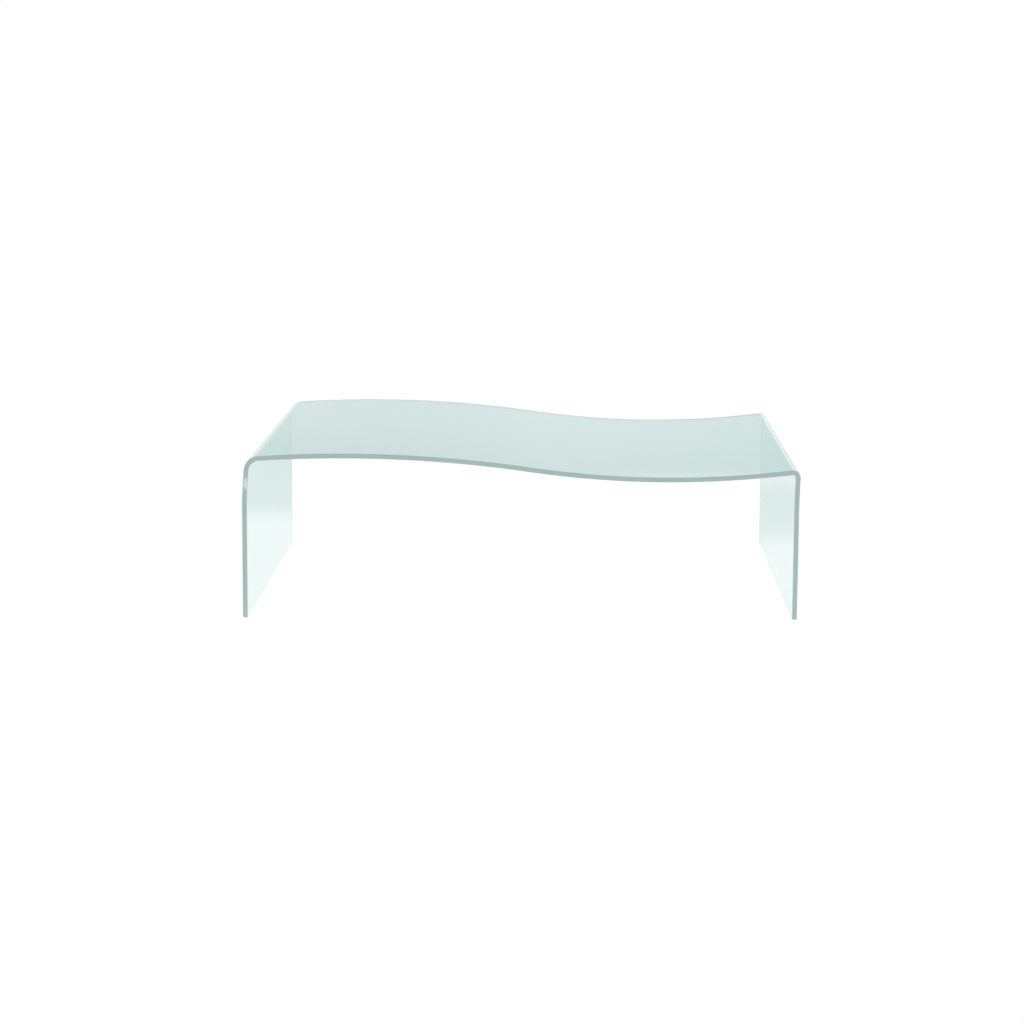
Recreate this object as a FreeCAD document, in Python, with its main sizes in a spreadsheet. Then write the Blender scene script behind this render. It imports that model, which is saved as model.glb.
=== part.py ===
# Waterfall coffee table: one sheet of clear glass, bent into two legs and a waved top, on four stick-on pads.
#
# Millimetres, +Z up. The origin is on the floor, midway between the feet and midway through the depth.
# -X is the leg beside the crest of the wave, +X the leg beside the trough, and -Y is the front.
import FreeCAD, Part
import math
import os
import Sketcher
from FreeCAD import Vector

# Driving dimensions. Lengths are in millimetres, and the splays and turns in degrees.
SIZES = {
    # the sheet
    "table_length": 1400,       # over the outer edges of the two feet
    "table_depth": 800,
    "glass_thickness": 12,
    "corner_radius": 5,         # of the four corners of the sheet, at the feet
    "arris": 1,                 # bevel that takes the sharpness off every edge
    # the wave of the top, measured on its upper face
    "crest_height": 427,        # above the floor
    "crest_offset": 440,        # from the middle of the table towards the left leg
    "crest_radius": 3260,
    "trough_height": 368,       # above the floor
    "trough_radius": 2400,
    # the left leg: straight, then a slack shoulder that leads into a soft bend
    "left_splay": 1.6,          # lean of the straight leg, its foot outwards
    "shoulder_radius": 1100,    # outside
    "shoulder_turn": 5.4,
    "left_bend_radius": 28,     # inside
    # the right leg: straight, then a knee that turns it outwards below a tight bend
    "right_splay": 0.6,
    "knee_radius": 2100,        # outside
    "knee_turn": 2.4,
    "right_bend_radius": 8,     # inside
    # the pads under the feet
    "pad_height": 2,
    "pad_margin": 0.25,         # flat of the foot left clear on each side of a pad
    "pad_rim": 0.5,             # rounding of the lower rim
    "pad_inset": 30,            # from the front or back face to a pad's centre
}

LEFT, RIGHT = -1, 1
FRONT, BACK = -1, 1
START, END, CENTRE = range(1, 4)            # Sketcher's numbers for the points of a line or an arc
ORIGIN, VERTICAL_AXIS = range(-1, -3, -1)   # and for its own geometry
TOLERANCE = 1e-4


def make_sheet_of_sizes(doc):
    """Put every driving dimension into a spreadsheet, one aliased cell each."""
    sheet = doc.addObject("Spreadsheet::Sheet", "sizes")
    for row, (alias, value) in enumerate(SIZES.items(), start=1):
        sheet.set(f"A{row}", alias)
        sheet.set(f"B{row}", str(value))
        sheet.setAlias(f"B{row}", alias)
    doc.recompute()
    return sheet


def origin_plane(body, role):
    """One of a body's own origin planes, such as XY_Plane."""
    return next(plane for plane in body.Origin.OriginFeatures if plane.Role == role)


def new_sketch(body, name, role):
    sketch = body.newObject("Sketcher::SketchObject", name)
    sketch.AttachmentSupport = (origin_plane(body, role), [""])
    sketch.MapMode = "FlatFace"
    return sketch


def constrain(sketch, kind, *where, size=None):
    """Add a constraint, bound to an expression when a size is given."""
    if size is None:
        sketch.addConstraint(Sketcher.Constraint(kind, *where))
        return
    now = sketch.evalExpression(size)
    value = math.radians(now.Value) if kind == "Angle" else float(now)
    number = sketch.addConstraint(Sketcher.Constraint(kind, *where, value))
    sketch.setExpression(f"Constraints[{number}]", size)


# ---- where the sheet's profile runs --------------------------------------------------------------------------
# The profile is a path from the left foot, over the top, to the right foot. Each stretch of it is a line or an
# arc that is tangent to the next. A signed radius is positive where the centre is on the underside of the sheet.

def leg_directions(side, lean):
    """Unit vectors up a leg that leans inwards by an angle, and across it towards the underside."""
    up = Vector(-side * math.sin(lean), math.cos(lean), 0)
    inward = Vector(-side * math.cos(lean), -math.sin(lean), 0)
    return up, inward


def leg_stretches(side, foot, splay, lead_radius, lead_turn, bend_radius, wave_centre, wave_radius):
    """Joints and centres of one leg: a straight run, a lead-in arc, and a bend that is tangent to the wave.

    The straight run is as long as it takes for the bend's circle to touch the wave's circle.
    """
    up, inward = leg_directions(side, splay)
    turned_inward = leg_directions(side, splay + math.copysign(lead_turn, lead_radius))[1]
    from_foot = inward * lead_radius + turned_inward * (bend_radius - lead_radius)
    to_wave = foot + from_foot - wave_centre
    along = to_wave.dot(up)
    off_square = to_wave.dot(to_wave) - (wave_radius - bend_radius) ** 2
    run = -along + math.copysign(math.sqrt(along ** 2 - off_square), wave_radius)
    run_end = foot + up * run
    lead_centre = run_end + inward * lead_radius
    lead_end = lead_centre - turned_inward * lead_radius
    bend_centre = lead_end + turned_inward * bend_radius
    towards_bend = (bend_centre - wave_centre).normalize()
    bend_end = wave_centre + towards_bend * abs(wave_radius)
    return (run_end, lead_end, bend_end), (lead_centre, bend_centre)


def outer_path(sheet):
    """Joints of the outer face from foot to foot, and the centre and signed radius of each arc."""
    thickness = sheet.glass_thickness
    height_of_both = sheet.crest_radius + sheet.trough_radius - (sheet.crest_height - sheet.trough_height)
    crest_to_trough = math.sqrt((sheet.crest_radius + sheet.trough_radius) ** 2 - height_of_both ** 2)
    crest_centre = Vector(-sheet.crest_offset, sheet.crest_height - sheet.crest_radius, 0)
    trough_centre = crest_centre + Vector(crest_to_trough, height_of_both, 0)
    share = sheet.crest_radius / (sheet.crest_radius + sheet.trough_radius)
    inflection = crest_centre + (trough_centre - crest_centre) * share

    left_foot = Vector(-sheet.table_length / 2, sheet.pad_height, 0)
    right_foot = Vector(sheet.table_length / 2, sheet.pad_height, 0)
    left_bend = sheet.left_bend_radius + thickness
    right_bend = sheet.right_bend_radius + thickness
    left_joints, (shoulder_centre, left_bend_centre) = leg_stretches(
        LEFT, left_foot, math.radians(sheet.left_splay), sheet.shoulder_radius,
        math.radians(sheet.shoulder_turn), left_bend, crest_centre, sheet.crest_radius)
    right_joints, (knee_centre, right_bend_centre) = leg_stretches(
        RIGHT, right_foot, math.radians(sheet.right_splay), -sheet.knee_radius,
        math.radians(sheet.knee_turn), right_bend, trough_centre, -sheet.trough_radius)

    joints = [left_foot, *left_joints, inflection, *reversed(right_joints), right_foot]
    arcs = [
        None,
        (shoulder_centre, sheet.shoulder_radius),
        (left_bend_centre, left_bend),
        (crest_centre, sheet.crest_radius),
        (trough_centre, -sheet.trough_radius),
        (right_bend_centre, right_bend),
        (knee_centre, -sheet.knee_radius),
        None,
    ]
    return joints, arcs


def inner_path(joints, arcs, sheet):
    """The same path on the underside: each joint moved square to the sheet by the glass thickness."""
    thickness = sheet.glass_thickness
    moved = []
    for joint, arc in zip(joints[1:-1], [arcs[1]] + arcs[1:-1]):
        centre, radius = arc
        underside = (centre - joint) * math.copysign(1, radius)
        moved.append(joint + underside.normalize() * thickness)
    left_step = Vector(thickness / math.cos(math.radians(sheet.left_splay)), 0, 0)
    right_step = Vector(thickness / math.cos(math.radians(sheet.right_splay)), 0, 0)
    moved = [joints[0] + left_step, *moved, joints[-1] - right_step]
    thinned = [arc and (arc[0], arc[1] - thickness) for arc in arcs]
    return moved, thinned


# ---- the bent sheet ------------------------------------------------------------------------------------------
# Positions of the stretches along the path.
LEFT_LEG, SHOULDER, LEFT_BEND, CREST, TROUGH, RIGHT_BEND, KNEE, RIGHT_LEG = range(8)


def draw_path(sketch, joints, arcs):
    """Draw one face of the profile. Returns (geometry, start point, end point) for each stretch of the path."""
    stretches = []
    for start, end, arc in zip(joints, joints[1:], arcs):
        if arc is None:
            # a leg is drawn upwards from its foot
            rising = end.y > start.y
            low, high = (start, end) if rising else (end, start)
            number = sketch.addGeometry(Part.LineSegment(low, high), False)
            stretches.append((number, START, END) if rising else (number, END, START))
            continue
        centre, radius = arc
        # arcs are stored anticlockwise, and the path takes those with a centre below it clockwise
        clockwise = radius > 0
        first, last = (end, start) if clockwise else (start, end)
        angles = [math.atan2(point.y - centre.y, point.x - centre.x) for point in (first, last)]
        circle = Part.Circle(centre, Vector(0, 0, 1), abs(radius))
        number = sketch.addGeometry(Part.ArcOfCircle(circle, *angles), False)
        stretches.append((number, END, START) if clockwise else (number, START, END))
    for (one, _, leaving), (other, entering, _) in zip(stretches, stretches[1:]):
        constrain(sketch, "Tangent", one, leaving, other, entering)
    return stretches


def draw_profile(sketch, sheet):
    """The closed profile of the sheet: outer face, inner face and the two ground feet."""
    joints, arcs = outer_path(sheet)
    outer = draw_path(sketch, joints, arcs)
    inner_joints, inner_arcs = inner_path(joints, arcs, sheet)
    inner = draw_path(sketch, inner_joints, inner_arcs)

    def outer_of(stretch):
        return outer[stretch][0]

    def inner_of(stretch):
        return inner[stretch][0]

    for stretch in range(SHOULDER, RIGHT_LEG):
        constrain(sketch, "Coincident", outer_of(stretch), CENTRE, inner_of(stretch), CENTRE)
    for leg, joint in ((LEFT_LEG, 0), (RIGHT_LEG, -1)):
        constrain(sketch, "Parallel", outer_of(leg), inner_of(leg))
        foot = sketch.addGeometry(Part.LineSegment(joints[joint], inner_joints[joint]), False)
        constrain(sketch, "Coincident", foot, START, outer_of(leg), START)
        constrain(sketch, "Coincident", foot, END, inner_of(leg), START)
        constrain(sketch, "Horizontal", foot)

    left, right = outer_of(LEFT_LEG), outer_of(RIGHT_LEG)
    constrain(sketch, "Symmetric", left, START, right, START, VERTICAL_AXIS)
    constrain(sketch, "DistanceX", left, START, right, START, size="sizes.table_length")
    constrain(sketch, "DistanceY", ORIGIN, START, left, START, size="sizes.pad_height")
    constrain(sketch, "Angle", left, size="(90 - sizes.left_splay) * 1 deg")
    constrain(sketch, "Angle", right, size="(90 + sizes.right_splay) * 1 deg")

    crest, trough = outer_of(CREST), outer_of(TROUGH)
    constrain(sketch, "Radius", crest, size="sizes.crest_radius")
    constrain(sketch, "DistanceX", crest, CENTRE, ORIGIN, START, size="sizes.crest_offset")
    constrain(sketch, "DistanceY", crest, CENTRE, ORIGIN, START, size="sizes.crest_radius - sizes.crest_height")
    constrain(sketch, "Radius", trough, size="sizes.trough_radius")
    constrain(sketch, "DistanceY", ORIGIN, START, trough, CENTRE, size="sizes.trough_height + sizes.trough_radius")

    constrain(sketch, "Radius", outer_of(SHOULDER), size="sizes.shoulder_radius")
    constrain(sketch, "Angle", outer_of(SHOULDER), size="sizes.shoulder_turn * 1 deg")
    constrain(sketch, "Radius", outer_of(KNEE), size="sizes.knee_radius")
    constrain(sketch, "Angle", outer_of(KNEE), size="sizes.knee_turn * 1 deg")
    constrain(sketch, "Radius", inner_of(LEFT_BEND), size="sizes.left_bend_radius")
    constrain(sketch, "Radius", outer_of(LEFT_BEND), size="sizes.left_bend_radius + sizes.glass_thickness")
    constrain(sketch, "Radius", outer_of(RIGHT_BEND), size="sizes.right_bend_radius + sizes.glass_thickness")


def edges_where(shape, chosen):
    """Names of the edges of a shape that a test picks."""
    return [f"Edge{number}" for number, edge in enumerate(shape.Edges, start=1) if chosen(edge)]


def refine_edges(body, kind, name, base, edges, **sizes):
    """Add a Fillet or a Chamfer on named edges of a feature, with its sizes bound to the spreadsheet."""
    feature = body.newObject(f"PartDesign::{kind}", name)
    feature.Base = (base, edges)
    for size, expression in sizes.items():
        feature.setExpression(size, expression)
    body.Document.recompute()
    return feature


def make_glass(doc, sheet):
    """The one bent sheet: its profile carried through the depth, with rounded corners and an arris all round."""
    body = doc.addObject("PartDesign::Body", "bent_glass_sheet")
    profile = new_sketch(body, "sheet_profile", "XZ_Plane")
    draw_profile(profile, sheet)

    bent = body.newObject("PartDesign::Pad", "bent_sheet")
    bent.Profile = profile
    bent.SideType = "Symmetric"
    bent.setExpression("Length", "sizes.table_depth")
    doc.recompute()

    def is_foot_corner(edge):
        box = edge.BoundBox
        return abs(box.ZMax - sheet.pad_height) < TOLERANCE and box.YLength < TOLERANCE

    corners = refine_edges(body, "Fillet", "rounded_corners", bent,
                           edges_where(bent.Shape, is_foot_corner), Radius="sizes.corner_radius")

    def is_crest_at_front(edge):
        at_front = abs(edge.BoundBox.YMax + sheet.table_depth / 2) < TOLERANCE
        return at_front and edge.Curve.TypeId == "Part::GeomCircle" and any(
            abs(edge.Curve.Radius - radius) < TOLERANCE
            for radius in (sheet.crest_radius, sheet.crest_radius - sheet.glass_thickness))

    # each of these two edges is tangent to the next one all the way round its face, and the arris follows them
    refine_edges(body, "Chamfer", "arris_all_round", corners,
                 edges_where(corners.Shape, is_crest_at_front), Size="sizes.arris")
    return body


# ---- the foot pads -------------------------------------------------------------------------------------------
def make_pad(doc, sheet, leg, side):
    """A clear stick-on disc, centred across the ground end of a leg, with its lower rim rounded."""
    leg_name = "left" if leg == LEFT else "right"
    side_name = "front" if side == FRONT else "back"
    body = doc.addObject("PartDesign::Body", f"foot_pad_{side_name}_{leg_name}")

    outline = new_sketch(body, f"{body.Name}_outline", "XY_Plane")
    number = outline.addGeometry(Part.Circle(Vector(), Vector(0, 0, 1), sheet.pad_height), False)
    constrain(outline, "Coincident", number, CENTRE, ORIGIN, START)
    constrain(outline, "Diameter", number,
              size="sizes.glass_thickness - 2 * (sizes.arris + sizes.pad_margin)")

    disc = body.newObject("PartDesign::Pad", f"{body.Name}_disc")
    disc.Profile = outline
    disc.setExpression("Length", "sizes.pad_height")
    doc.recompute()
    refine_edges(body, "Fillet", f"{body.Name}_rim", disc,
                 edges_where(disc.Shape, lambda edge: edge.BoundBox.ZMax < TOLERANCE), Radius="sizes.pad_rim")

    foot_width = f"sizes.glass_thickness / cos(sizes.{leg_name}_splay * 1 deg)"
    body.setExpression("Placement.Base.x", f"{leg} * (sizes.table_length - {foot_width}) / 2")
    body.setExpression("Placement.Base.y", f"{side} * (sizes.table_depth / 2 - sizes.pad_inset)")
    doc.recompute()
    return body


# ---- the whole table -----------------------------------------------------------------------------------------
def check(doc, sub_parts):
    """Stop if anything in the document failed, or if a sub-part is not exactly one sound solid."""
    for item in doc.Objects:
        if {"Invalid", "Error"} & set(item.State):
            raise RuntimeError(f"{item.Label} did not compute: {item.State}")
    for part in sub_parts:
        shape = part.Shape
        if shape.isNull() or not shape.isValid() or len(shape.Solids) != 1:
            raise RuntimeError(f"{part.Label} is not one sound solid")


def main():
    doc = FreeCAD.newDocument("waterfall_coffee_table")
    sheet = make_sheet_of_sizes(doc)
    sub_parts = [make_glass(doc, sheet)]
    sub_parts += [make_pad(doc, sheet, leg, side) for leg in (LEFT, RIGHT) for side in (FRONT, BACK)]
    doc.recompute()
    check(doc, sub_parts)

    os.makedirs("parts", exist_ok=True)
    for part in sub_parts:
        part.Shape.exportStep(f"parts/{part.Label}.step")
        box = part.Shape.BoundBox
        print(f"{part.Label}: {part.Shape.Volume / 1000:.2f} cm3, x {box.XMin:.2f} to {box.XMax:.2f}, "
              f"y {box.YMin:.2f} to {box.YMax:.2f}, z {box.ZMin:.2f} to {box.ZMax:.2f}")


main()
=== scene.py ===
"""Waterfall coffee table: a sheet of clear glass, bent into two legs and a waved top, on four clear pads.

Metres, +Z up. The origin is on the floor, midway between the feet and midway through the depth. -X is
the leg beside the crest of the wave, +X the leg beside the trough, and -Y is the front.
"""
import math

import bpy
import numpy as np
from mathutils import Matrix, Vector


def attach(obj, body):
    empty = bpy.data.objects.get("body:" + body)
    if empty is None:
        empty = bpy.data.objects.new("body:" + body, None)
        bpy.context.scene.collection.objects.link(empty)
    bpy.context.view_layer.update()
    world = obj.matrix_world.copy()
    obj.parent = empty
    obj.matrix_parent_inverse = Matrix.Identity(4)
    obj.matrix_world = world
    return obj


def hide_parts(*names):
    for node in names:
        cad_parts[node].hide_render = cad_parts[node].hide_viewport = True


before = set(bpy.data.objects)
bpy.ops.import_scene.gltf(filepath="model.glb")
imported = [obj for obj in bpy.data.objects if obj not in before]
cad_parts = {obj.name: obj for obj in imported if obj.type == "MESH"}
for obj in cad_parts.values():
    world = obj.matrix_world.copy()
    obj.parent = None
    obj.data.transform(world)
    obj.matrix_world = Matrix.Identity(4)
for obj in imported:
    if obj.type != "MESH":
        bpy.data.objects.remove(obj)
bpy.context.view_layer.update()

MM = 0.001
EIGHTH_TURN = math.pi / 4
QUARTER_TURN = math.pi / 2

# ---- sizes, the same as the solids' --------------------------------------------------------------
TABLE_LENGTH = 1400 * MM        # over the outer edges of the two feet
TABLE_DEPTH = 800 * MM
GLASS_THICKNESS = 12 * MM
CORNER_RADIUS = 5 * MM          # of the four corners of the sheet, at the feet
ARRIS = 1 * MM                  # bevel that takes the sharpness off every edge
CREST_HEIGHT = 427 * MM
CREST_OFFSET = 440 * MM         # from the middle of the table towards the left leg
CREST_RADIUS = 3260 * MM
TROUGH_HEIGHT = 368 * MM
TROUGH_RADIUS = 2400 * MM
LEFT_SPLAY = math.radians(1.6)
SHOULDER_RADIUS = 1100 * MM
SHOULDER_TURN = math.radians(5.4)
LEFT_BEND_RADIUS = 28 * MM      # inside
RIGHT_SPLAY = math.radians(0.6)
KNEE_RADIUS = 2100 * MM
KNEE_TURN = math.radians(2.4)
RIGHT_BEND_RADIUS = 8 * MM      # inside
PAD_HEIGHT = 2 * MM
PAD_MARGIN = 0.25 * MM          # flat of the foot left clear on each side of a pad
PAD_RIM = 0.5 * MM              # radius of a pad's lower rim
PAD_INSET = 30 * MM             # from the front or back face to a pad's centre

# ---- details that only the looks have ------------------------------------------------------------
ARRIS_SOFTNESS = 0.35 * MM      # radius that polishing leaves along the arrises
PAD_UPPER_RIM = 0.15 * MM       # radius of a pad's upper rim

# ---- fineness of the meshes ----------------------------------------------------------------------
ROW_LENGTH = 8 * MM             # longest step along the sheet
ROW_TURN = math.radians(0.75)   # largest step round a bend
COLUMNS = 24                    # across the depth
CORNER_STEPS = 8
ARRIS_STEPS = 3                 # over each soft line along an arris
PAD_STEPS = 48                  # round a pad
PAD_RIM_STEPS = 6               # over each of its rounded rims
WELD_DECIMALS = 8               # points that agree to this many decimals are one

LEFT, RIGHT = -1, 1
FRONT, BACK = -1, 1
OUTER_FACE, UNDERSIDE = -1, 1       # the way a face looks, along the facing
FACE_FINISH, EDGE_FINISH = 0, 1     # a piece's materials, by number
UNBENT = "unbent_place"             # the attribute with each point's place on the flat sheet


# ---- where the sheet runs ------------------------------------------------------------------------
# The sheet's path is a chain of stretches from the left foot, over the top, to the right foot, seen on
# its outer face. Each stretch has one curvature. The facing is the angle of the direction towards the
# underside, which falls by about half a turn from foot to foot. A signed radius is positive where the
# centre is on the underside.

def direction(angle):
    """Unit vectors (x, z) at an angle, as an array with one row for each angle."""
    return np.stack([np.cos(angle), np.sin(angle)], axis=-1)


def chord(length, turn):
    """Length of an arc's chord, from the arc's length and its turn."""
    return length * np.sinc(turn / 2 / math.pi)


def solve_leg(side, splay, lead_radius, lead_turn, bend_radius, wave_centre, wave_radius):
    """Length of a leg's straight run, and the facing where its bend meets the wave of the top.

    The straight run rises from the foot until the bend's circle, carried on its end, touches the
    wave's circle.
    """
    foot = np.array([side * TABLE_LENGTH / 2, PAD_HEIGHT])
    up = np.array([-side * math.sin(splay), math.cos(splay)])
    inward = np.array([-side * math.cos(splay), -math.sin(splay)])
    lean = splay + math.copysign(lead_turn, lead_radius)
    turned_inward = np.array([-side * math.cos(lean), -math.sin(lean)])
    bend_from_foot = inward * lead_radius + turned_inward * (bend_radius - lead_radius)
    to_wave = foot + bend_from_foot - wave_centre
    along = to_wave @ up
    off_square = to_wave @ to_wave - (wave_radius - bend_radius) ** 2
    run = -along + math.copysign(math.sqrt(along ** 2 - off_square), wave_radius)
    towards_bend = to_wave + up * run
    underside = -towards_bend * math.copysign(1, wave_radius)
    return run, math.atan2(underside[1], underside[0])


def sheet_path():
    """Start point, start facing, length and curvature of every stretch, as arrays."""
    height_of_both = CREST_RADIUS + TROUGH_RADIUS - (CREST_HEIGHT - TROUGH_HEIGHT)
    crest_to_trough = math.sqrt((CREST_RADIUS + TROUGH_RADIUS) ** 2 - height_of_both ** 2)
    crest_centre = np.array([-CREST_OFFSET, CREST_HEIGHT - CREST_RADIUS])
    trough_centre = crest_centre + [crest_to_trough, height_of_both]
    left_bend = LEFT_BEND_RADIUS + GLASS_THICKNESS
    right_bend = RIGHT_BEND_RADIUS + GLASS_THICKNESS
    left_run, crest_start = solve_leg(
        LEFT, LEFT_SPLAY, SHOULDER_RADIUS, SHOULDER_TURN, left_bend, crest_centre, CREST_RADIUS)
    right_run, trough_end = solve_leg(
        RIGHT, RIGHT_SPLAY, -KNEE_RADIUS, KNEE_TURN, right_bend, trough_centre, -TROUGH_RADIUS)
    inflection = math.atan2(-height_of_both, -crest_to_trough)
    left_leg, right_leg = -LEFT_SPLAY, RIGHT_SPLAY - math.pi
    below_right_bend = right_leg - KNEE_TURN

    facings = np.array([left_leg, left_leg, left_leg - SHOULDER_TURN, crest_start, inflection,
                        trough_end, below_right_bend, right_leg, right_leg])
    radii = np.array([np.inf, SHOULDER_RADIUS, left_bend, CREST_RADIUS, -TROUGH_RADIUS,
                      right_bend, -KNEE_RADIUS, np.inf])
    turns = facings[:-1] - facings[1:]
    lengths = np.concatenate([[left_run], radii[1:-1] * turns[1:-1], [right_run]])
    headings = direction((facings[:-1] + facings[1:]) / 2 + QUARTER_TURN)
    steps = chord(lengths, turns)[:, None] * headings
    foot = np.array([-TABLE_LENGTH / 2, PAD_HEIGHT])
    starts = foot + np.vstack([[0, 0], np.cumsum(steps, axis=0)[:-1]])
    return starts, facings[:-1], lengths, 1 / radii


STARTS, FACINGS, LENGTHS, CURVATURES = sheet_path()
DISTANCES = np.concatenate([[0], np.cumsum(LENGTHS)])
SHEET_LENGTH = DISTANCES[-1]


def follow_sheet(distance):
    """Point on the outer face, and facing, at distances along the path."""
    stretch = np.clip(np.searchsorted(DISTANCES, distance, side="right") - 1, 0, len(LENGTHS) - 1)
    way = distance - DISTANCES[stretch]
    turn = way * CURVATURES[stretch]
    facing = FACINGS[stretch] - turn
    heading = direction(facing + turn / 2 + QUARTER_TURN)
    return STARTS[stretch] + chord(way, turn)[..., None] * heading, facing


def rows_along_sheet():
    """Distances of the mesh's rows between the rounded corners, in short steps where it bends."""
    rows = []
    for start, length, curvature in zip(DISTANCES, LENGTHS, CURVATURES):
        count = math.ceil(max(length / ROW_LENGTH, length * abs(curvature) / ROW_TURN))
        rows.append(start + length * np.arange(count) / count)
    rows = np.concatenate(rows)
    return rows[(rows > CORNER_RADIUS) & (rows < SHEET_LENGTH - CORNER_RADIUS)]


# ---- meshes from grids ---------------------------------------------------------------------------
def cross_grid(rows, columns, closed=False):
    """Corner numbers of the quads of a grid of points, each in the order row, next column, next row."""
    numbers = np.arange(rows * columns).reshape(rows, columns)
    if closed:
        numbers = np.hstack([numbers, numbers[:, :1]])
    quads = [numbers[:-1, :-1], numbers[:-1, 1:], numbers[1:, 1:], numbers[1:, :-1]]
    return np.stack(quads, axis=-1).reshape(-1, 4)


def make_piece(name, patches, materials):
    """One closed, smooth mesh from patches, joined where they meet. A quad at a pole becomes a triangle.

    A patch is (points, normals, unbent points, quads, material number), the first three as grids. The
    unbent points go along as an attribute, so that a finish can follow the sheet round its bends.
    """
    points, normals, unbent = (
        np.vstack([patch[part].reshape(-1, 3) for patch in patches]) for part in range(3))
    offsets = np.cumsum([0] + [patch[0].size // 3 for patch in patches])
    quads = np.vstack([patch[3] + offset for patch, offset in zip(patches, offsets)])
    finish = np.concatenate([np.full(len(patch[3]), patch[4]) for patch in patches])
    _, first, merged = np.unique(
        np.round(points, WELD_DECIMALS), axis=0, return_index=True, return_inverse=True)
    faces = [list(dict.fromkeys(corners)) for corners in merged.reshape(-1)[quads].tolist()]

    mesh = bpy.data.meshes.new(name)
    mesh.from_pydata(points[first], [], faces)
    mesh.polygons.foreach_set("material_index", finish)
    mesh.polygons.foreach_set("use_smooth", np.ones(len(faces), bool))
    for material in materials:
        mesh.materials.append(material)
    places = mesh.attributes.new(UNBENT, "FLOAT_VECTOR", "POINT")
    places.data.foreach_set("vector", unbent[first].ravel())
    mesh.normals_split_custom_set_from_vertices(normals[first])
    mesh.update()
    piece = bpy.data.objects.new(name, mesh)
    bpy.context.scene.collection.objects.link(piece)
    return piece


# ---- the bent sheet ------------------------------------------------------------------------------
def edge_profile():
    """The ground edge, from the outer face round to the underside: depth, inset and turn of its points.

    It is a bevel, a flat and a bevel, and small arcs of an eighth turn join them to each other and to
    both faces. The depth is below the outer face, the inset is from the flat, and the turn is the
    normal's, away from the outer face's.
    """
    reach = ARRIS_SOFTNESS * math.tan(EIGHTH_TURN / 2)
    corners = np.array([[0, ARRIS], [ARRIS, 0],
                        [GLASS_THICKNESS - ARRIS, 0], [GLASS_THICKNESS, ARRIS]])
    profile, turns = [], []
    for number, corner in enumerate(corners):
        start = number * EIGHTH_TURN
        into = np.array([math.sin(start), -math.cos(start)])
        towards_centre = np.array([math.cos(start), math.sin(start)])
        centre = corner - into * reach + ARRIS_SOFTNESS * towards_centre
        arc = start + np.linspace(0, EIGHTH_TURN, ARRIS_STEPS + 1)
        profile.append(centre - ARRIS_SOFTNESS * direction(arc))
        turns.append(arc)
    depth, inset = np.vstack(profile).T
    return depth, inset, np.concatenate(turns)


def place_on_sheet(along, across, below):
    """Bend flat positions (along the sheet, across it, below its outer face) into their place."""
    point, facing = follow_sheet(along)
    x, z = np.moveaxis(point + below[..., None] * direction(facing), -1, 0)
    return np.stack([x, across, z], axis=-1)


def turn_on_sheet(distance, along, across, below):
    """Bend flat directions (along the sheet, across it, towards its underside) at distances on it."""
    facing = follow_sheet(distance)[1]
    bent = below[..., None] * direction(facing) + along[..., None] * direction(facing + QUARTER_TURN)
    x, z = np.moveaxis(bent, -1, 0)
    return np.stack([x, across, z], axis=-1)


def sheet_outline():
    """One side of the flat sheet: distance and half width of each row, and its edge's turn from square."""
    turns = np.linspace(0, QUARTER_TURN, CORNER_STEPS + 1)
    rise = CORNER_RADIUS * (1 - np.cos(turns))
    width = TABLE_DEPTH / 2 - CORNER_RADIUS * (1 - np.sin(turns))
    middle = rows_along_sheet()
    distance = np.concatenate([rise, middle, SHEET_LENGTH - rise[::-1]])
    half_width = np.concatenate([width, np.full(len(middle), TABLE_DEPTH / 2), width[::-1]])
    turned = np.concatenate([turns, np.full(len(middle), QUARTER_TURN), math.pi - turns[::-1]])
    return distance, half_width, turned


def face_patch(outline, depth, inset, face):
    """The sheet's outer face or its underside, as a grid (along, across)."""
    distance, half_width, turned = outline
    share = np.linspace(-1, 1, COLUMNS + 1)
    along = (distance + inset * np.cos(turned))[:, None] + 0 * share
    across = (half_width - inset * np.sin(turned))[:, None] * share
    level = 0 * along
    below = level + depth
    normals = turn_on_sheet(along, level, level, level + face)
    unbent = np.stack([along, across, below], axis=-1)
    quads = cross_grid(*along.shape)[:, ::face]
    return place_on_sheet(along, across, below), normals, unbent, quads, FACE_FINISH


def edge_patch(outline, depth, inset, turn):
    """The ground edge, as a closed grid (edge profile, round the outline)."""
    distance, half_width, turned = outline
    foot = (TABLE_DEPTH / 2 - CORNER_RADIUS) * np.linspace(-1, 1, COLUMNS + 1)
    end = np.zeros(COLUMNS - 1)
    round_along = np.concatenate([distance, end + SHEET_LENGTH, distance[::-1], end])
    round_across = np.concatenate([-half_width, foot[1:-1], half_width[::-1], foot[-2:0:-1]])
    inward_along = np.concatenate([np.cos(turned), end - 1, np.cos(turned[::-1]), end + 1])
    inward_across = np.concatenate([np.sin(turned), end, -np.sin(turned[::-1]), end])

    along = round_along + inset[:, None] * inward_along
    across = round_across + inset[:, None] * inward_across
    below = depth[:, None] + 0 * along
    sideways = -np.sin(turn)[:, None]
    downward = -np.cos(turn)[:, None] + 0 * along
    normals = turn_on_sheet(along, sideways * inward_along, sideways * inward_across, downward)
    unbent = np.stack([along, across, below], axis=-1)
    quads = cross_grid(*along.shape, closed=True)[:, ::-1]
    return place_on_sheet(along, across, below), normals, unbent, quads, EDGE_FINISH


def make_glass(glass, edge):
    """The sheet: its two faces and its ground edge.

    Every point is a point of the flat sheet, inset from its rounded outline, then bent along the path.
    """
    outline = sheet_outline()
    depth, inset, turn = edge_profile()
    patches = [face_patch(outline, depth[0], inset[0], OUTER_FACE),
               face_patch(outline, depth[-1], inset[-1], UNDERSIDE),
               edge_patch(outline, depth, inset, turn)]
    return make_piece("bent_glass", patches, [glass, edge])


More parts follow.
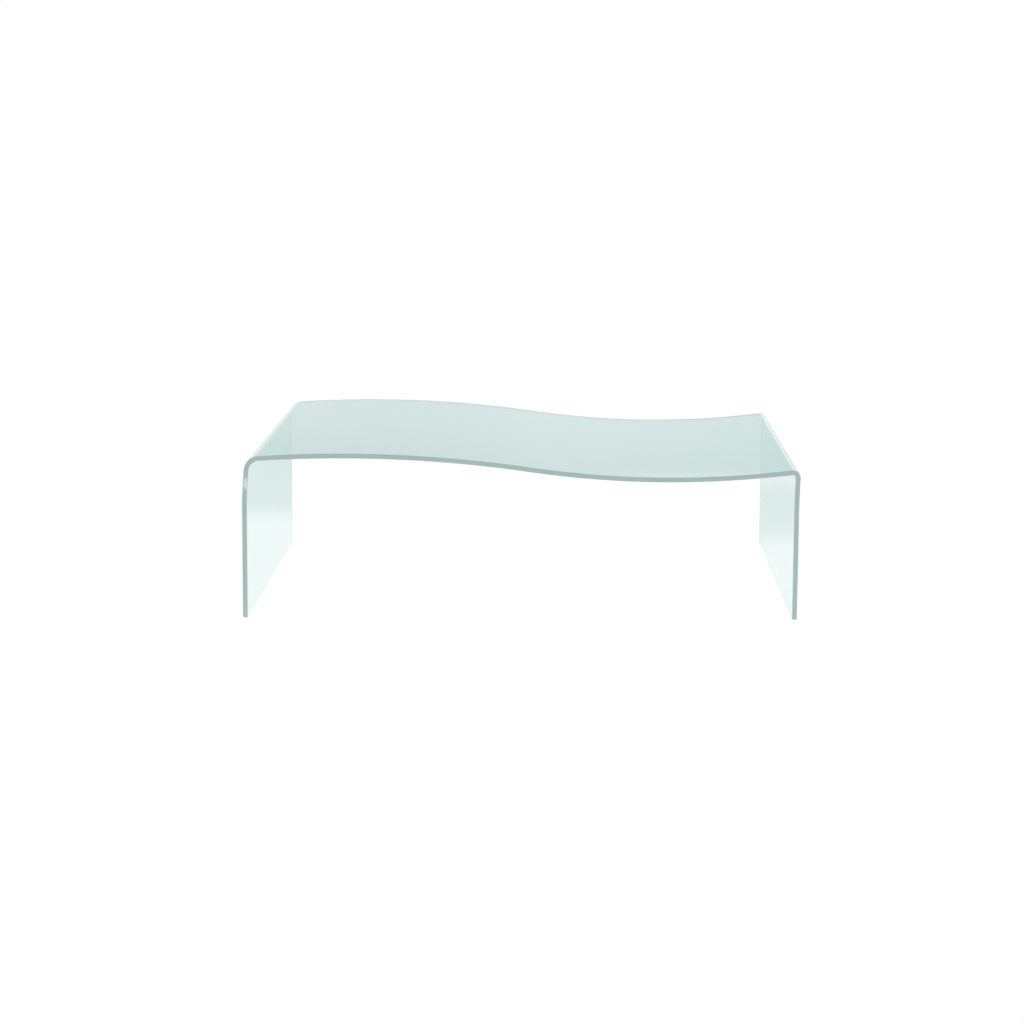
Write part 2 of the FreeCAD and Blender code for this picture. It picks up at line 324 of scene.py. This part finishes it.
# ---- the foot pads -------------------------------------------------------------------------------
def spin(outward, upward, angles):
    """A profile's points or normals, given as outward and upward parts, spun round to all the angles."""
    level = outward[:, None, None] * direction(angles)
    return np.concatenate([level, upward[:, None, None] + 0 * level[..., :1]], axis=-1)


def make_pad(side, leg, material):
    """A clear stick-on disc: its profile, from the top's middle to the bottom's, spun round."""
    pad_radius = GLASS_THICKNESS / 2 - ARRIS - PAD_MARGIN
    splay = LEFT_SPLAY if leg == LEFT else RIGHT_SPLAY
    centre = np.array([leg * (TABLE_LENGTH - GLASS_THICKNESS / math.cos(splay)) / 2,
                       side * (TABLE_DEPTH / 2 - PAD_INSET), 0])
    turns = np.linspace(0, QUARTER_TURN, PAD_RIM_STEPS + 1)
    cos, sin = np.cos(turns), np.sin(turns)
    radius = np.concatenate(
        [[0], pad_radius - PAD_UPPER_RIM * (1 - sin), pad_radius - PAD_RIM * (1 - cos), [0]])
    height = np.concatenate(
        [[PAD_HEIGHT], PAD_HEIGHT - PAD_UPPER_RIM * (1 - cos), PAD_RIM * (1 - sin), [0]])
    outward = np.concatenate([[0], sin, cos, [0]])
    upward = np.concatenate([[1], cos, -sin, [-1]])
    angles = np.linspace(0, 2 * math.pi, PAD_STEPS, endpoint=False)
    points = spin(radius, height, angles)
    quads = cross_grid(len(radius), PAD_STEPS, closed=True)[:, ::-1]
    patch = (points + centre, spin(outward, upward, angles), points, quads, FACE_FINISH)
    name = f"pad_{'front' if side == FRONT else 'back'}_{'left' if leg == LEFT else 'right'}"
    return make_piece(name, [patch], [material])


# ---- shader nodes --------------------------------------------------------------------------------
def add_node(tree, kind, inputs=None, **settings):
    """A shader node. An input is a value, a socket to link from, or a node to link from its first output."""
    node = tree.nodes.new("ShaderNode" + kind)
    for name, value in settings.items():
        setattr(node, name, value)
    for name, value in (inputs or {}).items():
        if isinstance(value, bpy.types.Node):
            value = value.outputs[0]
        if isinstance(value, bpy.types.NodeSocket):
            tree.links.new(value, node.inputs[name])
        else:
            node.inputs[name].default_value = value
    return node


def calculate(tree, operation, *values):
    """A Math node on one or two values."""
    return add_node(tree, "Math", dict(enumerate(values)), operation=operation)


def spread(tree, value, start, end, low=0.0, high=1.0):
    """A value that runs from low at the start to high at the end, and stays level beyond them."""
    limits = {"From Min": start, "From Max": end, "To Min": low, "To Max": high}
    return add_node(tree, "MapRange", {"Value": value, **limits})


def mix_colours(tree, share, first, second):
    """A colour between two others. A Mix node keeps its colours in inputs 6 and 7 and in output 2."""
    return add_node(tree, "Mix", {0: share, 6: first, 7: second}, data_type="RGBA").outputs[2]


def mix_shaders(tree, share, first, second):
    """A shader between two others."""
    return add_node(tree, "MixShader", {0: share, 1: first, 2: second})


def add_ramp(tree, place, stops, interpolation="LINEAR"):
    """A colour that follows a place from 0 to 1, from stops given as (position, colour)."""
    ramp = add_node(tree, "ValToRGB", {0: place})
    ramp.color_ramp.interpolation = interpolation
    elements = ramp.color_ramp.elements
    while len(elements) > 1:
        elements.remove(elements[-1])
    elements[0].position, elements[0].color = stops[0]
    for position, colour in stops[1:]:
        elements.new(position).color = colour
    return ramp


def add_relief(tree, height, distance):
    """The normal of a surface that is raised by a height from 0 to 1, times a distance in metres."""
    return add_node(tree, "Bump", {"Strength": 1.0, "Distance": distance, "Height": height})


def make_clouds():
    """The shared effect: smooth noise over the flat sheet, as a value that runs from Smallest to Largest.

    Cells gives how many cells of the noise fit in a metre, along the sheet, across it and into its
    thickness. Low and High are the levels of the noise that become Smallest and Largest.
    """
    group = bpy.data.node_groups.new("clouds", "ShaderNodeTree")
    group.interface.new_socket("Cells", in_out="INPUT", socket_type="NodeSocketVector")
    for name in ("Detail", "Low", "High", "Smallest", "Largest"):
        group.interface.new_socket(name, in_out="INPUT", socket_type="NodeSocketFloat")
    group.interface.new_socket("Value", in_out="OUTPUT", socket_type="NodeSocketFloat")
    given = group.nodes.new("NodeGroupInput").outputs
    place = add_node(group, "Attribute", attribute_name=UNBENT).outputs["Vector"]
    cells = add_node(group, "VectorMath", {0: place, 1: given["Cells"]}, operation="MULTIPLY")
    noise = add_node(group, "TexNoise", {"Scale": 1.0, "Vector": cells, "Detail": given["Detail"]})
    value = spread(group, noise, given["Low"], given["High"], given["Smallest"], given["Largest"])
    group.links.new(value.outputs[0], group.nodes.new("NodeGroupOutput").inputs["Value"])


def add_clouds(tree, cells, detail, levels=(0.3, 0.7), values=(0.0, 1.0)):
    """Place the clouds in a material, with its own cells, levels of the noise, and values."""
    inputs = {"Cells": cells, "Detail": detail, "Low": levels[0], "High": levels[1],
              "Smallest": values[0], "Largest": values[1]}
    return add_node(tree, "Group", inputs, node_tree=bpy.data.node_groups["clouds"])


def new_material(name):
    """An empty node material, and its tree."""
    material = bpy.data.materials.new(name)
    material.use_nodes = True
    material.node_tree.nodes.clear()
    return material, material.node_tree


# ---- finishes ------------------------------------------------------------------------------------
WHITE = (1, 1, 1, 1)
GLASS_IOR = 1.52
BODY_COLOUR = (0.01, 0.71, 0.64, 1)     # of clear float glass, which takes mostly red
BODY_DENSITY = 10.0                     # per metre
HAZE_ROUGHNESS = (0.0, 0.02)            # where the glass is clean, and where wiping left a trace
OVEN_WAVE_HEIGHT = 0.02 * MM
EDGE_DARK = (0.385, 0.495, 0.48, 1)
EDGE_LIGHT = (0.445, 0.56, 0.545, 1)
EDGE_ROUGHNESS = (0.34, 0.46)
EDGE_POLISH = 0.06                      # roughness of the sheen over it
WHEEL_LINE_HEIGHT = 0.006 * MM
END_SCATTER = 0.9                       # share of the light from within that an end scatters
SIDE_SCATTER = 0.0                      # the same for the sides; the rest is mirrored
PAD_COLOUR = (0.95, 0.97, 0.97, 1)
PAD_IOR = 1.46
PAD_ROUGHNESS = (0.14, 0.3)
PAD_GRAIN = (4000, 4000, 4000)          # cells in a metre
PAD_GRAIN_HEIGHT = 0.01 * MM


def clear_glass():
    """Float glass: a sharp surface over a body that takes mostly red out of the light.

    The oven leaves it very slightly wavy, mostly along the sheet, and wiping leaves a trace of haze.
    """
    material, tree = new_material("clear_float_glass")
    haze = add_clouds(tree, cells=(9, 22, 0), detail=4, levels=(0.45, 0.75), values=HAZE_ROUGHNESS)
    oven_wave = add_clouds(tree, cells=(7, 3, 0), detail=1, levels=(0.2, 0.8))
    surface = add_node(tree, "BsdfPrincipled", {
        "Base Color": WHITE, "IOR": GLASS_IOR, "Transmission Weight": 1.0, "Roughness": haze,
        "Normal": add_relief(tree, oven_wave, OVEN_WAVE_HEIGHT)})
    body = add_node(tree, "VolumeAbsorption", {"Color": BODY_COLOUR, "Density": BODY_DENSITY})
    add_node(tree, "OutputMaterial", {"Surface": surface, "Volume": body})
    return material


def ground_edge():
    """The edge of the sheet, ground flat and satin polished, with fine lines left along it by the wheel.

    From within, its sides mirror, as light that has come in through a face can't leave through an edge
    that is square to it. The two ends that stand on the pads are less polished: most of an end scatters
    in the light that falls on it from outside.
    """
    material, tree = new_material("satin_ground_edge")
    tint = mix_colours(tree, add_clouds(tree, cells=(16, 16, 700), detail=2), EDGE_DARK, EDGE_LIGHT)
    wheel_lines = add_clouds(tree, cells=(12, 12, 2600), detail=2)
    satin = add_node(tree, "BsdfPrincipled", {
        "Base Color": tint, "IOR": GLASS_IOR, "Coat Weight": 1.0, "Coat Roughness": EDGE_POLISH,
        "Roughness": add_clouds(tree, cells=(35, 35, 60), detail=3, values=EDGE_ROUGHNESS),
        "Normal": add_relief(tree, wheel_lines, WHEEL_LINE_HEIGHT)})

    place = add_node(tree, "Attribute", attribute_name=UNBENT).outputs["Vector"]
    across = add_node(tree, "SeparateXYZ", {0: place}).outputs["Y"]
    scattered = spread(tree, calculate(tree, "ABSOLUTE", across), TABLE_DEPTH / 2 - CORNER_RADIUS,
                       TABLE_DEPTH / 2, END_SCATTER, SIDE_SCATTER)
    mirror = add_node(tree, "BsdfGlossy", {"Color": WHITE, "Roughness": 0.0})
    scatter = add_node(tree, "BsdfTranslucent", {"Color": WHITE})
    from_within = mix_shaders(tree, scattered, mirror, scatter)
    is_within = add_node(tree, "NewGeometry").outputs["Backfacing"]
    add_node(tree, "OutputMaterial", {"Surface": mix_shaders(tree, is_within, satin, from_within)})
    return material


def clear_pad():
    """Clear soft plastic, with the fine grain of its mould."""
    material, tree = new_material("clear_soft_plastic")
    grain = add_clouds(tree, PAD_GRAIN, detail=2)
    surface = add_node(tree, "BsdfPrincipled", {
        "Base Color": PAD_COLOUR, "IOR": PAD_IOR, "Transmission Weight": 1.0,
        "Roughness": add_clouds(tree, PAD_GRAIN, detail=2, values=PAD_ROUGHNESS),
        "Normal": add_relief(tree, grain, PAD_GRAIN_HEIGHT)})
    add_node(tree, "OutputMaterial", {"Surface": surface})
    return material


# ---- studio --------------------------------------------------------------------------------------
FLOOR_HALF = 40.0
FLOOR_DROP = 0.2 * MM           # below the pads, so that no two faces lie in one plane
# the floor's pool of light, and its darker band further off, are painted into its glow
POOL_CENTRE = (-0.14, 0.0)      # of the light on the floor
POOL_HALF = (0.98, 0.66)
POOL_SLANT = math.radians(-13)
POOL_SQUARENESS = 4.0           # 2 would make it an ellipse, and more makes it squarer
POOL_END = 6.0                  # in halves of the pool, where its last tone has been reached
POOL_TONES = [                  # by the distance from its centre, in halves of the pool
    (0.80, (1.0, 1.0, 1.0, 1)), (1.20, (0.84, 0.885, 0.885, 1)), (2.2, (0.80, 0.86, 0.86, 1)),
    (3.3, (0.83, 0.90, 0.895, 1)), (5.4, (1.0, 1.0, 1.0, 1))]
LIGHT_STRIP_MIDDLE = 0.69             # a painted strip of light on the floor behind the right leg
LIGHT_STRIP_NEAR = (1.05, 1.30)       # it rises towards the back between these
LIGHT_STRIP_FAR = (1.37, 1.335)       # and ends there between these
LIGHT_STRIP_END = (0.45, 0.28)        # and at both sides between these distances from its middle
LIGHT_STRIP_TONE = (0.92, 0.925, 0.93, 1)
SKY_TONES = [                   # by the sine of the elevation
    (0.0, (1.0, 1.0, 1.0, 1)), (0.087, (1.0, 1.0, 1.0, 1)), (0.174, (0.72, 0.76, 0.755, 1)),
    (0.216, (0.61, 0.675, 0.665, 1)), (0.5, (0.65, 0.70, 0.69, 1)), (1.0, (1.0, 1.0, 1.0, 1))]
SKY_SIDE = 0.10                 # how much lighter the right is than the middle, and the left darker
SKY_SIDE_REACH = 0.25           # as the sine of the angle from the middle
CAMERA_PLACE = Vector((0.1030, -4.8950, 1.3365))
CAMERA_PITCH = math.radians(13.225)     # down
CAMERA_YAW = math.radians(-1.521)       # towards +X
CAMERA_ROLL = math.radians(0.197)       # its right side down
CAMERA_LENS = 65.14                     # in mm, as is its sensor
CAMERA_SENSOR = 36
GLINT_SPOT = Vector((-0.680, -TABLE_DEPTH / 2, 0.350))      # on the left leg's front edge
GLINT_SIZE = (10 * MM, 34 * MM)         # across and up
GLINT_DISTANCE = 0.2                    # of the lamp from the spot, as a share of the camera's
GLINT_RADIANCE = 13.0
LIGHT_BOUNCES = 128                     # light runs far along inside the sheet


def plain_to_camera(tree, shaded, plain):
    """A light that the camera sees plain, and that the glass mirrors and passes on shaded."""
    return mix_shaders(tree, add_node(tree, "LightPath").outputs["Is Camera Ray"], shaded, plain)


def add_floor():
    """A white floor that the camera sees plain; what the glass mirrors and passes on is a painted pool of
    light, bright round the table and a little darker further off.
    """
    material, tree = new_material("white_floor")
    place = add_node(tree, "TexCoord").outputs["Object"]
    pool = add_node(tree, "Mapping", {
        0: place, "Location": (*POOL_CENTRE, 0), "Rotation": (0, 0, POOL_SLANT),
        "Scale": (*POOL_HALF, 1)}, vector_type="TEXTURE")
    in_pool = add_node(tree, "SeparateXYZ", {0: pool}).outputs
    powers = [calculate(tree, "POWER", calculate(tree, "ABSOLUTE", in_pool[axis]), POOL_SQUARENESS)
              for axis in range(2)]
    reach = calculate(tree, "POWER", calculate(tree, "ADD", *powers), 1 / POOL_SQUARENESS)
    tones = [(distance / POOL_END, tone) for distance, tone in POOL_TONES]
    pool_tone = add_ramp(tree, calculate(tree, "DIVIDE", reach, POOL_END), tones, "EASE")

    # a painted strip of light on the floor behind the right leg, which the leg passes on and mirrors
    on_floor = add_node(tree, "SeparateXYZ", {0: place}).outputs
    from_middle = calculate(
        tree, "ABSOLUTE", calculate(tree, "SUBTRACT", on_floor["X"], LIGHT_STRIP_MIDDLE))
    depth_share = calculate(
        tree, "MULTIPLY", spread(tree, on_floor["Y"], *LIGHT_STRIP_NEAR), spread(tree, on_floor["Y"], *LIGHT_STRIP_FAR))
    painted_light_strip = calculate(tree, "MULTIPLY", depth_share, spread(tree, from_middle, *LIGHT_STRIP_END))
    lit = add_node(tree, "Emission", {"Color": mix_colours(tree, painted_light_strip, pool_tone, LIGHT_STRIP_TONE)})
    plain = add_node(tree, "Emission", {"Color": WHITE})
    add_node(tree, "OutputMaterial", {"Surface": plain_to_camera(tree, lit, plain)})

    half, level = FLOOR_HALF, -FLOOR_DROP
    corners = [(-half, -half, level), (half, -half, level), (half, half, level), (-half, half, level)]
    mesh = bpy.data.meshes.new("floor")
    mesh.from_pydata(corners, [], [(0, 1, 2, 3)])
    mesh.materials.append(material)
    floor = bpy.data.objects.new("floor", mesh)
    bpy.context.scene.collection.objects.link(floor)


def light_the_studio():
    """Soft light from all round: white past the table, and shaded for what the glass mirrors."""
    world = bpy.data.worlds.new("soft_studio")
    bpy.context.scene.world = world
    world.use_nodes = True
    tree = world.node_tree
    tree.nodes.clear()
    towards = add_node(tree, "SeparateXYZ", {0: add_node(tree, "TexCoord").outputs["Generated"]}).outputs
    side = spread(tree, towards["X"], -SKY_SIDE_REACH, SKY_SIDE_REACH, 1 - SKY_SIDE, 1 + SKY_SIDE)
    tone = add_ramp(tree, towards["Z"], SKY_TONES)
    shaded = add_node(tree, "Background", {"Color": tone, "Strength": side})
    plain = add_node(tree, "Background", {"Color": WHITE})
    add_node(tree, "OutputWorld", {"Surface": plain_to_camera(tree, shaded, plain)})


def add_glint():
    """A tiny lamp, low in front, placed where the left leg's front edge mirrors it into the camera."""
    towards = GLINT_SPOT - CAMERA_PLACE
    mirrored = Vector((towards.x, -towards.y, towards.z))
    data = bpy.data.lights.new("glint", "AREA")
    data.shape = "ELLIPSE"
    data.size, data.size_y = GLINT_SIZE
    area = math.pi / 4 * data.size * data.size_y
    data.energy = GLINT_RADIANCE * math.pi * area
    lamp = bpy.data.objects.new("glint", data)
    lamp.location = GLINT_SPOT + GLINT_DISTANCE * mirrored
    lamp.rotation_euler = (-mirrored).to_track_quat("-Z", "Y").to_euler()
    lamp.visible_camera = False
    bpy.context.scene.collection.objects.link(lamp)


def add_camera():
    """The camera, at the height of a standing viewer's chest, a little to the right of the middle."""
    pitch, yaw, roll = CAMERA_PITCH, CAMERA_YAW, CAMERA_ROLL
    forward = Vector((math.sin(yaw) * math.cos(pitch), math.cos(yaw) * math.cos(pitch), -math.sin(pitch)))
    level = Vector((math.cos(yaw), -math.sin(yaw), 0))
    down = forward.cross(level)
    right = math.cos(roll) * level + math.sin(roll) * down
    below = -math.sin(roll) * level + math.cos(roll) * down
    turn = Matrix((right, -below, -forward)).transposed()
    data = bpy.data.cameras.new("camera")
    data.sensor_width = CAMERA_SENSOR
    data.lens = CAMERA_LENS
    camera = bpy.data.objects.new("camera", data)
    camera.matrix_world = Matrix.Translation(CAMERA_PLACE) @ turn.to_4x4()
    bpy.context.scene.collection.objects.link(camera)
    bpy.context.scene.camera = camera


# ---- the table -----------------------------------------------------------------------------------
def main():
    """Set the studio up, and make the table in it."""
    add_camera()
    add_floor()
    light_the_studio()
    add_glint()
    scene = bpy.context.scene
    scene.view_settings.view_transform = "Standard"
    scene.cycles.max_bounces = LIGHT_BOUNCES
    scene.cycles.transmission_bounces = LIGHT_BOUNCES
    scene.cycles.glossy_bounces = LIGHT_BOUNCES
    scene.cycles.use_denoising = True

    make_clouds()
    sheet = make_glass(clear_glass(), ground_edge())
    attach(sheet, "root")
    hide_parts("bent_glass_sheet")
    pad_material = clear_pad()
    for side in (FRONT, BACK):
        for leg in (LEFT, RIGHT):
            pad = make_pad(side, leg, pad_material)
            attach(pad, "root")
            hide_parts(f"foot_{pad.name}")


main()
